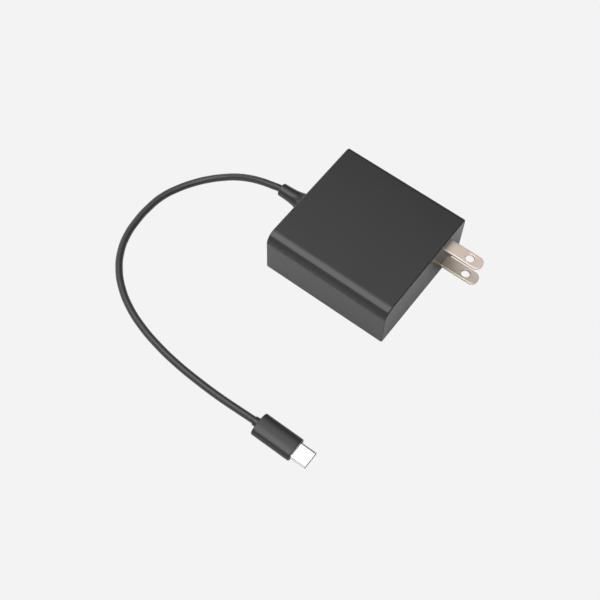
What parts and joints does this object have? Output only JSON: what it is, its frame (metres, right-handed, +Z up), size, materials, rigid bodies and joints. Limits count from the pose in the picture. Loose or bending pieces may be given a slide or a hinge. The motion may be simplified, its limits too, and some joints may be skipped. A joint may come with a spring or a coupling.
{
  "type": "usb wall charger",
  "caption": "Flat square-sided wall charger with two fixed flat blades on one end and a short captive cable that ends in a reversible USB-C plug.",
  "frame": {"origin": "centre of the housing's flat base, on the surface that the charger stands on", "axes": "+X out of the plug face, along the blades; +Z up, away from the base; +Y towards the side that the blades sit nearer to"},
  "size_m": [0.1417, 0.1282, 0.0243],
  "materials": {
    "housing_plastic": "satin charcoal moulded plastic",
    "connector_plastic": "satin charcoal moulded plastic",
    "relief_rubber": "soft satin charcoal elastomer",
    "cable_jacket": "soft satin charcoal jacket",
    "blade_metal": "satin nickel-plated brass",
    "shell_metal": "bright nickel-plated steel",
    "contact_metal": "gold-plated spring contacts",
    "insulating_plastic": "matt black insulating plastic",
    "board_laminate": "green solder mask on glass laminate",
    "semiconductor_epoxy": "matt black moulding compound",
    "yellow_film": "yellow polyester film",
    "ferrite": "sintered dark grey ferrite",
    "copper_winding": "enamelled copper wire",
    "aluminium_sheet": "rolled aluminium sheet",
    "capacitor_sleeve": "dark blue shrink sleeve",
    "blue_lacquer": "blue epoxy lacquer on ceramic",
    "white_ceramic": "off-white ceramic or resin",
    "thermal_silicone": "grey-blue gap filler",
    "red_wire": "red wire insulation",
    "black_wire": "black wire insulation",
    "white_wire": "white wire insulation"
  },
  "bodies": {
    "root": {"housing_shell": "housing_plastic", "base_cover": "housing_plastic", "blade_upper": "blade_metal", "blade_lower": "blade_metal", "blade_carrier": "insulating_plastic", "main_board": "board_laminate", "line_lead": "black_wire", "neutral_lead": "white_wire", "fuse": "white_ceramic", "filter_capacitor": "yellow_film", "line_choke_core": "ferrite", "line_choke_winding": "copper_winding", "bridge_rectifier": "semiconductor_epoxy", "bulk_capacitor_front": "capacitor_sleeve", "bulk_capacitor_middle": "capacitor_sleeve", "transformer_core_plug_side": "ferrite", "transformer_core_cable_side": "ferrite", "transformer_bobbin": "insulating_plastic", "transformer_winding": "copper_winding", "transformer_tape": "yellow_film", "thermal_pad": "thermal_silicone", "heat_spreader": "aluminium_sheet", "switching_transistor": "semiconductor_epoxy", "safety_capacitor": "blue_lacquer", "optocoupler": "white_ceramic", "insulation_barrier": "insulating_plastic", "output_capacitor_front": "capacitor_sleeve", "output_capacitor_middle": "capacitor_sleeve", "output_rectifier": "semiconductor_epoxy", "power_delivery_board": "board_laminate", "power_delivery_controller": "semiconductor_epoxy", "strain_relief": "relief_rubber", "output_lead_positive": "red_wire", "output_lead_ground": "black_wire", "output_lead_signal": "white_wire", "output_cable": "cable_jacket", "connector_strain_relief": "relief_rubber", "connector_cover": "connector_plastic", "connector_shell": "shell_metal", "connector_insert": "insulating_plastic", "contact_row_upper": "contact_metal", "contact_row_lower": "contact_metal", "connector_board": "board_laminate"}
  },
  "joints": []
}
